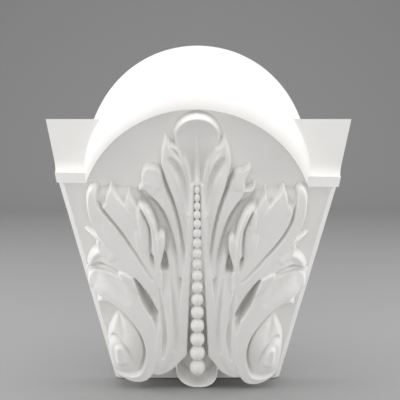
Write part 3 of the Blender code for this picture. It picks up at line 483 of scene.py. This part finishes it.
def hood_mesh(v):
    """Rounded hood between the arch and its half-round outline on the wall. Its feet are buried."""
    rings = []
    for row in range(HOOD_STEPS + 1):
        angle = math.pi / 2 * row / HOOD_STEPS
        ring = []
        for i in range(ARCH_STEPS + 1):
            share = i / ARCH_STEPS
            full = HOOD_FULLNESS + (HOOD_FOOT_FULLNESS - HOOD_FULLNESS) * abs(2 * share - 1) ** HOOD_BLEND
            back = math.sin(angle) ** full
            front = max(0.0, math.cos(angle)) ** full * (row < HOOD_STEPS)
            ax, az = arch_point(v, share)
            wx, wz = wall_point(v, share)
            depth = panel_depth(v, az, v.rim_step) * front
            ring.append((ax + (wx - ax) * back, -depth, az + (wz - az) * back))
        root_z = v.fillet_foot_z - v.fillet_height / 2
        buried = [(x, HOOD_ROOT * y, root_z) for x, y, _ in (ring[0], ring[-1])]
        rings.append(buried[:1] + ring + buried[1:])
    return mesh_from_rings("hood", rings)


def panel_edge(v, side, z):
    """Where the panel ends and the slanted strip begins."""
    return side_x(v, side, z) - side * v.edge_chamfer


def strip_corners(v, side, wide, low):
    """The slanted strip's plane from the foot to the fillet: two outer points, then two on the panel."""
    top = v.fillet_foot_z
    high = top
    for _ in range(EDGE_ROUNDS):
        high = tilted(v, panel_edge(v, side, high), top)
    far = side * wide
    points = [(far, level, far - panel_edge(v, side, level)) for level in (low, tilted(v, far, top))]
    points += [(panel_edge(v, side, level), level, 0.0) for level in (high, low)]
    return [(x, abs(out) - panel_depth(v, z), z) for x, z, out in points]


def recess_mesh(v):
    """Cutter that clears the panel inside the arch and below the fillet, with a strip at each side."""
    low = v.foot_z - v.body_height * CUTTER_DROP
    left = strip_corners(v, -1, v.ear_span, low)
    right = strip_corners(v, 1, v.ear_span, low)
    arch = [arch_point(v, i / ARCH_STEPS) for i in range(ARCH_STEPS + 1)]
    inner = left[:3] + [(x, -panel_depth(v, z), z) for x, z in arch]
    inner += [right[2], right[1], right[0], right[3], left[3]]
    outer = [(x, -panel_depth(v, z, v.fascia_depth), z) for x, _, z in inner]
    work = bmesh.new()
    near, far = [[work.verts.new(point) for point in ring] for ring in (inner, outer)]
    for i in range(-1, len(near) - 1):
        work.faces.new((near[i], near[i + 1], far[i + 1], far[i]))
    work.faces.new(far)
    work.faces.new((near[0], near[1], near[2], near[-1]))
    work.faces.new(near[-5:-1])
    work.faces.new(near[2:-4] + near[-2:])
    return finished("recess", work)


# The leaf

def spline(rows, steps=8):
    """Smooth curve through rows of numbers, every column at once."""
    rows = np.array(rows, dtype=float)
    ends = np.vstack((2 * rows[0] - rows[1], rows, 2 * rows[-1] - rows[-2]))
    out = []
    for a, b, c, d in zip(ends, ends[1:], ends[2:], ends[3:]):
        for k in range(steps):
            u = k / steps
            out.append(0.5 * (2 * b + (c - a) * u + (2 * a - 5 * b + 4 * c - d) * u ** 2
                              + (3 * b - a - 3 * c + d) * u ** 3))
    out.append(rows[-1])
    return np.array(out)


def along(rows, across, up):
    """Inset from a rib's edge, its half width and height, and how far past its end, at each point."""
    path = spline(rows)
    inset = np.full(across.shape, -np.inf)
    width = np.zeros(across.shape)
    height = np.zeros(across.shape)
    beyond = np.zeros(across.shape)
    for start, end in zip(path, path[1:]):
        step = end[:2] - start[:2]
        run = max(math.hypot(*step), TINY)
        share = ((across - start[0]) * step[0] + (up - start[1]) * step[1]) / run ** 2
        over = np.clip(share - 1, 0, None) * run
        share = np.clip(share, 0, 1)
        gap = np.hypot(across - start[0] - share * step[0], up - start[1] - share * step[1])
        here = start[2] + share * (end[2] - start[2])
        better = here - gap > inset
        inset = np.where(better, here - gap, inset)
        width = np.where(better, here, width)
        height = np.where(better, start[3] + share * (end[3] - start[3]), height)
        beyond = np.where(better, over, beyond)
    return inset, np.maximum(width, TINY), height, beyond


def near(rows, across, up):
    """Which points are close enough to a rib to be touched by it."""
    rows = np.array(rows, dtype=float)
    reach = rows[:, 2].max() + 1
    return ((across > rows[:, 0].min() - reach) & (across < rows[:, 0].max() + reach)
            & (up > rows[:, 1].min() - reach) & (up < rows[:, 1].max() + reach))


def rounded(share):
    """Edge of a rib: steep at its foot and round at its shoulder."""
    return 1 - (1 - np.clip(share, 0, 1)) ** SHOULDER


def smooth(share):
    share = np.clip(share, 0, 1)
    return share * share * (3 - 2 * share)


def raise_rib(top, rows, x, t, crown, roll, curl=0.0):
    """Lift the surface to a rib where the rib is the higher. Its end may curl up."""
    spot = near(rows, x, t)
    inset, width, height, beyond = along(rows, x[spot], t[spot])
    middle = 1 - np.clip((width - inset) / width, 0, 1) ** 2
    lifted = (height + curl * beyond / width) * (1 + crown * middle) * rounded(inset / roll)
    top[spot] = np.maximum(top[spot], np.where(inset > 0, lifted, 0.0))


def cut_groove(top, rows, x, t):
    spot = near(rows, x, t)
    inset, width, depth, _ = along(rows, x[spot], t[spot])
    lowered = top[spot] - depth * smooth(inset / width)
    top[spot] = np.maximum(lowered, np.minimum(top[spot], GROOVE_FLOOR))


def cut_pit(top, rows, x, t, roll):
    spot = near(rows, x, t)
    inset = along(rows, x[spot], t[spot])[0]
    top[spot] *= 1 - (1 - PIT_FLOOR) * rounded(inset / roll)


def cut_scroll(top, x, t):
    """Groove round the eye of each volute, deepest over its top."""
    aside = (x - SCROLL_CENTRE[0] - SCROLL_LEAN * (t - SCROLL_CENTRE[1])) / SCROLL_REACH[0]
    above = (t - SCROLL_CENTRE[1]) / SCROLL_REACH[1]
    ring = np.exp(-((np.hypot(aside, above) - 1) / SCROLL_SHARPNESS) ** 2)
    fade = np.clip((above - SCROLL_FADE[0]) / SCROLL_FADE[1], 0, 1)
    top -= SCROLL_DEPTH * ring * fade * (top > SCROLL_DEPTH)


def bead_rows(v):
    """Centre, half length and radius of each bead, from the top down, in metres."""
    count = v.beads.count
    pitch = STRING_RUN * v.leaf_height / sum(v.beads.growth ** i for i in range(count))
    edge = STRING_TOP * v.leaf_height
    rows = []
    for i in range(count):
        radius = v.beads.top_radius + (v.beads.foot_radius - v.beads.top_radius) * i / (count - 1)
        rows.append((edge - pitch / 2, pitch * BEAD_HALF, radius))
        edge -= pitch
        pitch *= v.beads.growth
    return rows


def bead_level(v, up):
    """Height of the string's middle line over the panel."""
    return v.leaf.relief * np.interp(up / v.leaf_height, *zip(*STRING_LEVELS))


def cut_channel(v, top, across, up):
    """Channel that the beads lie in. It opens a little towards the foot."""
    share = up / v.leaf_height
    beads = bead_rows(v)[::-1]
    radius = np.interp(up, [bead[0] for bead in beads], [bead[2] for bead in beads])
    gap = CHANNEL_GAP * np.clip(CHANNEL_TOP - share, 0, 1) ** CHANNEL_OPENING
    inside = smooth((radius + gap - np.abs(across)) / CHANNEL_EDGE)
    inside = inside * smooth((STRING_TOP + CHANNEL_PAST - share) / CHANNEL_FADE)
    floor = np.interp(share, *zip(*CHANNEL_FLOORS))
    top[:] = top * (1 - inside) + np.minimum(top, floor) * inside


def raise_cup(top, x, t):
    """Cup under the string: its upper edge leans from the beads down to its side."""
    spot = near(CUP, x, t)
    inset, _, height, _ = along(CUP, x[spot], t[spot])
    hollow = 1 - CUP_HOLLOW * smooth((inset - CUP_RIM) / CUP_WALL)
    cup = np.zeros(top.shape)
    cup[spot] = np.where(inset > 0, height * hollow * rounded(inset / CUP_ROLL), 0.0)
    (near_x, near_t), (far_x, far_t) = CUP_EDGE
    edge = near_t + (x - near_x) * (far_t - near_t) / (far_x - near_x)
    within = smooth((edge - t) / CUP_LEDGE)
    top[:] = np.where(cup > 0, top * (1 - within) + cup * within, top)


def leaf_surface(v, across, up):
    """Height of the leaf over the panel, in hundredths of the relief, at points given in metres."""
    t = up / v.leaf_height * 100
    x = np.abs(across) / v.leaf_spread * 100
    levels, shrinking, lowering = np.array(RIGHT_HALF).T
    right = smooth(x * (across > 0) / RIGHT_BLEND)
    x = x * (1 + (np.interp(t, levels, shrinking) - 1) * right)
    t = t + np.interp(t, levels, lowering) * right
    top = np.zeros(x.shape)
    for ribs, grooves in ((LOW_RIBS, LOW_GROOVES), (RIBS, GROOVES)):
        for _, side, crown, roll, rows in ribs:
            raise_rib(top, rows, np.where(across * side < 0, FAR_OFF, x), t, crown, roll)
        if ribs is RIBS:
            raise_rib(top, TIP_LOBE, x, t, TIP_HOLLOW, TIP_ROLL, curl=TIP_CURL)
            raise_rib(top, MIDRIB, x, t, 0.0, TIP_ROLL)
        for _, side, rows in grooves:
            cut_groove(top, rows, np.where(across * side < 0, FAR_OFF, x), t)
    for _, roll, rows in PITS:
        cut_pit(top, rows, x, t, roll)
    cut_scroll(top, x, t)
    cut_channel(v, top, across, up)
    raise_cup(top, x, t)
    return top


def blurred(grid, radius):
    """The grid softened over that many cells."""
    reach = int(BLUR_REACH * radius) + 1
    weights = np.exp(-0.5 * (np.arange(-reach, reach + 1) / radius) ** 2)
    weights /= weights.sum()
    for axis in (0, 1):
        pads = [(reach, reach) if axis == a else (0, 0) for a in (0, 1)]
        padded = np.pad(grid, pads, mode="edge")
        size = grid.shape[axis]
        grid = sum(w * np.take(padded, range(k, k + size), axis=axis) for k, w in enumerate(weights))
    return grid


def leaf_mesh(v):
    """Carved surface of the leaf. Its ground lies just under the panel and follows the slanted strips."""
    ups = np.arange(LEAF_LOW * v.leaf_height, LEAF_HIGH * v.leaf_height, v.leaf.cell)
    cells = int(LEAF_REACH * v.leaf_spread / v.leaf.cell)
    acrosses = np.arange(-cells, cells + 1) * v.leaf.cell
    across, up = np.meshgrid(acrosses, ups)
    top = leaf_surface(v, across, up)
    edge = half_width(v, v.foot_z + up * math.cos(v.lean))
    over_strip = np.maximum(0, np.abs(across) - edge + v.edge_chamfer)
    bare = (top < BARE_HEIGHT) | (np.abs(across) > edge - LEAF_EDGE * v.edge_chamfer)
    metres = np.where(bare, -v.leaf.sunk - over_strip, top / 100 * v.leaf.relief)
    metres = blurred(metres, v.leaf.soft_edge / v.leaf.cell)
    # Painted shade: how far each point lies below its blurred surroundings, which darkens the hollows in the
    # plaster's colour
    crevice = sum((blurred(metres, wide / v.leaf.cell) - metres) / full for wide, full in PAINTED_SHADE_SCALES)
    crevice = np.clip(crevice, -1, 1)
    keep = blurred((~bare).astype(float), KEPT_BLUR) > KEPT_LIMIT
    keep &= np.abs(across) < edge - v.leaf.cell
    number = np.full(top.shape, -1)
    number[keep] = np.arange(keep.sum())
    r, c = np.nonzero(keep[:-1, :-1] & keep[:-1, 1:] & keep[1:, :-1] & keep[1:, 1:])
    faces = np.stack((number[r, c], number[r, c + 1], number[r + 1, c + 1], number[r + 1, c]), axis=1)
    x, y, height = on_panel(v, across[keep], up[keep], metres[keep])
    points = np.stack((x, y, height), axis=1)
    mesh = bpy.data.meshes.new("leaf")
    mesh.from_pydata(points.tolist(), [], faces.tolist())
    shade = mesh.attributes.new("crevice", "FLOAT", "POINT")
    shade.data.foreach_set("value", crevice[keep].astype(np.float32))
    mesh.polygons.foreach_set("use_smooth", np.ones(len(mesh.polygons), dtype=bool))
    mesh.update()
    return mesh


def beads_mesh(v, around=32, rings=20):
    """The string of egg-shaped beads."""
    work = bmesh.new()
    for centre, half, radius in bead_rows(v):
        made = bmesh.ops.create_uvsphere(work, u_segments=around, v_segments=rings, radius=1.0)
        level = float(bead_level(v, centre))
        for vert in made["verts"]:
            x, y, z = vert.co
            vert.co = on_panel(v, x * radius, centre + z * half, level - y * radius)
    for face in work.faces:
        face.smooth = True
    return finished("bead_string", work)


# Plaster

def node(tree, kind, numbers=None, **settings):
    """New node with its settings, and with the numbers on its inputs by name."""
    made = tree.nodes.new(kind)
    for name, value in settings.items():
        setattr(made, name, value)
    for name, value in (numbers or {}).items():
        made.inputs[name].default_value = value
    return made


def maths(tree, operation, first, second, clamped=False):
    """Output of a Math node that takes two outputs."""
    made = node(tree, "ShaderNodeMath", operation=operation, use_clamp=clamped)
    tree.links.new(first, made.inputs[0])
    tree.links.new(second, made.inputs[1])
    return made.outputs[0]


def plaster_grain():
    """Node group: the clouding, the fine grain and the pinholes of cast plaster."""
    name = "Plaster grain"
    if name in bpy.data.node_groups:
        return bpy.data.node_groups[name]
    group = bpy.data.node_groups.new(name, "ShaderNodeTree")
    for label, size in GRAIN_SIZES:
        made = group.interface.new_socket(name=label, in_out="INPUT", socket_type="NodeSocketFloat")
        made.default_value = size
        made.min_value, made.max_value = SIZE_LIMITS
    for label in ("Cloud", "Pinhole", "Height"):
        group.interface.new_socket(name=label, in_out="OUTPUT", socket_type="NodeSocketFloat")
    links = group.links
    given = node(group, "NodeGroupInput")
    out = node(group, "NodeGroupOutput")
    place = node(group, "ShaderNodeTexCoord")

    def scaled(texture, label):
        """Lays the texture over the piece, at the size that the group's input gives."""
        per_metre = node(group, "ShaderNodeMath", operation="DIVIDE")
        per_metre.inputs[0].default_value = 1.0
        links.new(given.outputs[label], per_metre.inputs[1])
        links.new(per_metre.outputs[0], texture.inputs["Scale"])
        links.new(place.outputs["Object"], texture.inputs["Vector"])
        return texture

    cloud = scaled(node(group, "ShaderNodeTexNoise", {"Detail": 4.0}), "Cloud size")
    links.new(cloud.outputs["Fac"], out.inputs["Cloud"])

    grain = scaled(node(group, "ShaderNodeTexNoise", {"Detail": 5.0, "Roughness": 0.6}), "Grain size")
    cells = scaled(node(group, "ShaderNodeTexVoronoi", {"Randomness": 1.0}), "Pinhole spacing")
    hole = node(group, "ShaderNodeMapRange", {"From Min": PINHOLE_EDGE[0], "From Max": PINHOLE_EDGE[1]},
                interpolation_type="SMOOTHSTEP")
    links.new(cells.outputs["Distance"], hole.inputs["Value"])
    links.new(hole.outputs["Result"], out.inputs["Pinhole"])

    dented = maths(group, "SUBTRACT", grain.outputs["Fac"], hole.outputs["Result"])
    links.new(dented, out.inputs["Height"])
    return group


def plaster(name, cloud_size, grain_size, crevices=False):
    """White cast plaster. crevices turns on painted shade in the carving's hollows, read from a mesh
    attribute.
    """
    look = bpy.context.scene.corbel_plaster
    material = bpy.data.materials.new(name)
    material.use_nodes = True
    tree = material.node_tree
    links = tree.links
    shader = tree.nodes["Principled BSDF"]
    shader.inputs["Metallic"].default_value = 0.0
    shader.inputs["Specular IOR Level"].default_value = SPECULAR
    grain = node(tree, "ShaderNodeGroup", node_tree=plaster_grain())
    grain.inputs["Cloud size"].default_value = cloud_size
    grain.inputs["Grain size"].default_value = grain_size

    tone = node(tree, "ShaderNodeMapRange", {"From Min": CLOUD_RANGE[0], "From Max": CLOUD_RANGE[1],
                                             "To Min": CLOUD_SHADE, "To Max": 0.0})
    links.new(grain.outputs["Cloud"], tone.inputs["Value"])
    dark = tone.outputs["Result"]
    # Painted shade: the carving's hollows are darkened towards the crevice colour
    if crevices:
        told = node(tree, "ShaderNodeAttribute", attribute_name="crevice")
        deep = node(tree, "ShaderNodeMapRange", {"To Max": PAINTED_SHADE_STRENGTH})
        links.new(told.outputs["Fac"], deep.inputs["Value"])
        dark = maths(tree, "ADD", dark, deep.outputs["Result"], clamped=True)
    pitted = maths(tree, "MAXIMUM", dark, grain.outputs["Pinhole"])
    mixed = node(tree, "ShaderNodeMix", data_type="RGBA")
    mixed.inputs["A"].default_value = (*look.clean, 1)
    mixed.inputs["B"].default_value = (*look.shade, 1)
    links.new(pitted, mixed.inputs["Factor"])
    links.new(mixed.outputs["Result"], shader.inputs["Base Color"])

    rough = node(tree, "ShaderNodeMapRange", {"To Min": look.roughness - ROUGHNESS_SPREAD,
                                              "To Max": look.roughness + ROUGHNESS_SPREAD})
    links.new(grain.outputs["Cloud"], rough.inputs["Value"])
    links.new(rough.outputs["Result"], shader.inputs["Roughness"])

    bump = node(tree, "ShaderNodeBump", {"Strength": BUMP_STRENGTH, "Distance": BUMP_DISTANCE})
    links.new(grain.outputs["Height"], bump.inputs["Height"])
    links.new(bump.outputs["Normal"], shader.inputs["Normal"])
    return material


# Putting pieces on the frame

def new_object(name, mesh):
    made = bpy.data.objects.new(name, mesh)
    bpy.context.scene.collection.objects.link(made)
    return made


def dress(piece, material):
    """A finished piece: it rides with the body, stands for the node and has the plaster."""
    piece.data.materials.clear()
    piece.data.materials.append(material)
    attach(piece, "root")
    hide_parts("corbel")


def joined(base, steps):
    """Mesh of the base after the Boolean steps, whose objects are removed."""
    for cutter, operation in steps:
        step = base.modifiers.new(cutter.name, "BOOLEAN")
        step.operation = operation
        step.solver = "EXACT"
        step.object = cutter
    bpy.context.view_layer.update()
    ready = base.evaluated_get(bpy.context.evaluated_depsgraph_get())
    mesh = bpy.data.meshes.new_from_object(ready)
    for item in [base] + [cutter for cutter, _ in steps]:
        bpy.data.objects.remove(item, do_unlink=True)
    return mesh


class CORBEL_OT_block(bpy.types.Operator):
    """Builds the block with its ears, mouldings, hood and leaning panel"""
    bl_idname = "corbel.block"
    bl_label = "Block and hood"

    def execute(self, context):
        v = values()
        base = new_object("corbel_block", block_mesh(v))
        steps = [(new_object("hood", hood_mesh(v)), "UNION"),
                 (new_object("recess", recess_mesh(v)), "DIFFERENCE")]
        mesh = joined(base, steps)
        mesh.polygons.foreach_set("use_smooth", np.ones(len(mesh.polygons), dtype=bool))
        block = new_object("corbel_block", mesh)
        soft = block.modifiers.new("soft edges", "BEVEL")
        soft.width = v.soft_edge
        soft.segments = SOFT_EDGE_SEGMENTS
        soft.limit_method = "ANGLE"
        soft.angle_limit = math.radians(SOFT_EDGE_ANGLE)
        soft.harden_normals = True
        dress(block, plaster("cast plaster, plain faces", cloud_size=0.035, grain_size=0.0013))
        return {"FINISHED"}


class CORBEL_OT_leaf(bpy.types.Operator):
    """Builds the carved acanthus leaf with its volutes and cup"""
    bl_idname = "corbel.leaf"
    bl_label = "Acanthus leaf"

    def execute(self, context):
        leaf = new_object("acanthus_leaf", leaf_mesh(values()))
        # The carving's plaster has painted shade in its hollows
        dress(leaf, plaster("cast plaster, carving", cloud_size=0.028, grain_size=0.0012, crevices=True))
        return {"FINISHED"}


class CORBEL_OT_beads(bpy.types.Operator):
    """Builds the string of beads down the middle of the leaf"""
    bl_idname = "corbel.beads"
    bl_label = "Bead string"

    def execute(self, context):
        beads = new_object("bead_string", beads_mesh(values()))
        dress(beads, plaster("cast plaster, beads", cloud_size=0.020, grain_size=0.0010))
        return {"FINISHED"}


# Floor, light and camera

def floor_material(shade):
    material = bpy.data.materials.new("studio floor")
    material.use_nodes = True
    tree = material.node_tree
    shader = tree.nodes["Principled BSDF"]
    shader.inputs["Roughness"].default_value = FLOOR_ROUGHNESS
    noise = node(tree, "ShaderNodeTexNoise", {"Scale": FLOOR_CLOUD_SCALE})
    tone = node(tree, "ShaderNodeMix", data_type="RGBA")
    for end, part in zip("AB", FLOOR_CLOUDS):
        tone.inputs[end].default_value = (*[part * share for share in shade], 1)
    tree.links.new(noise.outputs["Fac"], tone.inputs["Factor"])
    tree.links.new(tone.outputs["Result"], shader.inputs["Base Color"])
    return material


def soft_light(name, place, size, power):
    data = bpy.data.lights.new(name, "AREA")
    data.shape = "RECTANGLE"
    data.size, data.size_y = size
    data.energy = power
    lamp = new_object(name, data)
    lamp.location = place
    lamp.rotation_euler = (Vector(LIGHT_AIM) - Vector(place)).to_track_quat("-Z", "Y").to_euler()


def sweep_mesh(v, steps=24):
    """Floor that curves up into a backdrop well behind the corbel."""
    level = v.foot_z - FLOOR_GAP
    profile = [(-SWEEP_HALF_WIDTH, level)]
    for i in range(steps + 1):
        angle = math.pi / 2 * i / steps
        profile.append((SWEEP_START + SWEEP_BEND * math.sin(angle),
                        level + SWEEP_BEND * (1 - math.cos(angle))))
    profile.append((SWEEP_START + SWEEP_BEND, level + SWEEP_BEND + SWEEP_RISE))
    work = bmesh.new()
    rows = [[work.verts.new((side * SWEEP_HALF_WIDTH, y, z)) for side in (-1, 1)] for y, z in profile]
    for lower, upper in zip(rows, rows[1:]):
        face = work.faces.new((lower[0], lower[1], upper[1], upper[0]))
        face.smooth = True
    mesh = bpy.data.meshes.new("studio_sweep")
    work.to_mesh(mesh)
    work.free()
    return mesh


class CORBEL_OT_stage(bpy.types.Operator):
    """Builds the pale floor, the soft studio light and the camera"""
    bl_idname = "corbel.stage"
    bl_label = "Studio and camera"

    def execute(self, context):
        scene = context.scene
        look = scene.corbel_studio
        floor = new_object("studio_sweep", sweep_mesh(values()))
        floor.data.materials.append(floor_material(look.floor_colour))

        world = bpy.data.worlds.new("studio")
        world.use_nodes = True
        sky = world.node_tree.nodes["Background"]
        sky.inputs["Color"].default_value = (1, 1, 1, 1)
        sky.inputs["Strength"].default_value = look.sky
        scene.world = world
        for name, place, size in LIGHTS:
            soft_light(f"{name} light", place, size, getattr(look, name))

        data = bpy.data.cameras.new("camera")
        data.sensor_fit = "HORIZONTAL"
        data.angle = math.radians(CAMERA_ANGLE)
        camera = new_object("camera", data)
        turn = math.radians(CAMERA_HEIGHT_ANGLE)
        camera.location = (CAMERA_AIM[0], CAMERA_AIM[1] - CAMERA_DISTANCE * math.cos(turn),
                           CAMERA_AIM[2] + CAMERA_DISTANCE * math.sin(turn))
        camera.rotation_euler = (math.radians(90) - turn, 0, 0)
        scene.camera = camera
        scene.view_settings.view_transform = "Standard"
        return {"FINISHED"}


class CORBEL_PT_panel(bpy.types.Panel):
    """Sizes, colours and pieces of the corbel"""
    bl_label = "Corbel"
    bl_idname = "CORBEL_PT_panel"
    bl_space_type = "VIEW_3D"
    bl_region_type = "UI"
    bl_category = "Corbel"

    def draw(self, context):
        for title, group in (("Block", "corbel_block"), ("Leaf", "corbel_leaf"), ("Beads", "corbel_beads"),
                             ("Plaster", "corbel_plaster"), ("Studio", "corbel_studio")):
            box = self.layout.box()
            box.label(text=title)
            settings = getattr(context.scene, group)
            for name in type(settings).__annotations__:
                box.prop(settings, name)
        for operator in OPERATORS:
            self.layout.operator(operator.bl_idname)


GROUPS = {"corbel_block": BlockSizes, "corbel_leaf": LeafSizes, "corbel_beads": BeadSizes,
          "corbel_plaster": PlasterLook, "corbel_studio": StudioLook}
OPERATORS = (CORBEL_OT_block, CORBEL_OT_leaf, CORBEL_OT_beads, CORBEL_OT_stage)


def register():
    for item in (*GROUPS.values(), *OPERATORS, CORBEL_PT_panel):
        bpy.utils.register_class(item)
    for name, group in GROUPS.items():
        setattr(bpy.types.Scene, name, PointerProperty(type=group))


def unregister():
    for name in GROUPS:
        delattr(bpy.types.Scene, name)
    for item in (CORBEL_PT_panel, *OPERATORS, *GROUPS.values()):
        bpy.utils.unregister_class(item)


def main():
    register()
    for operator in OPERATORS:
        group, name = operator.bl_idname.split(".")
        getattr(getattr(bpy.ops, group), name)()


if __name__ == "__main__":
    main()
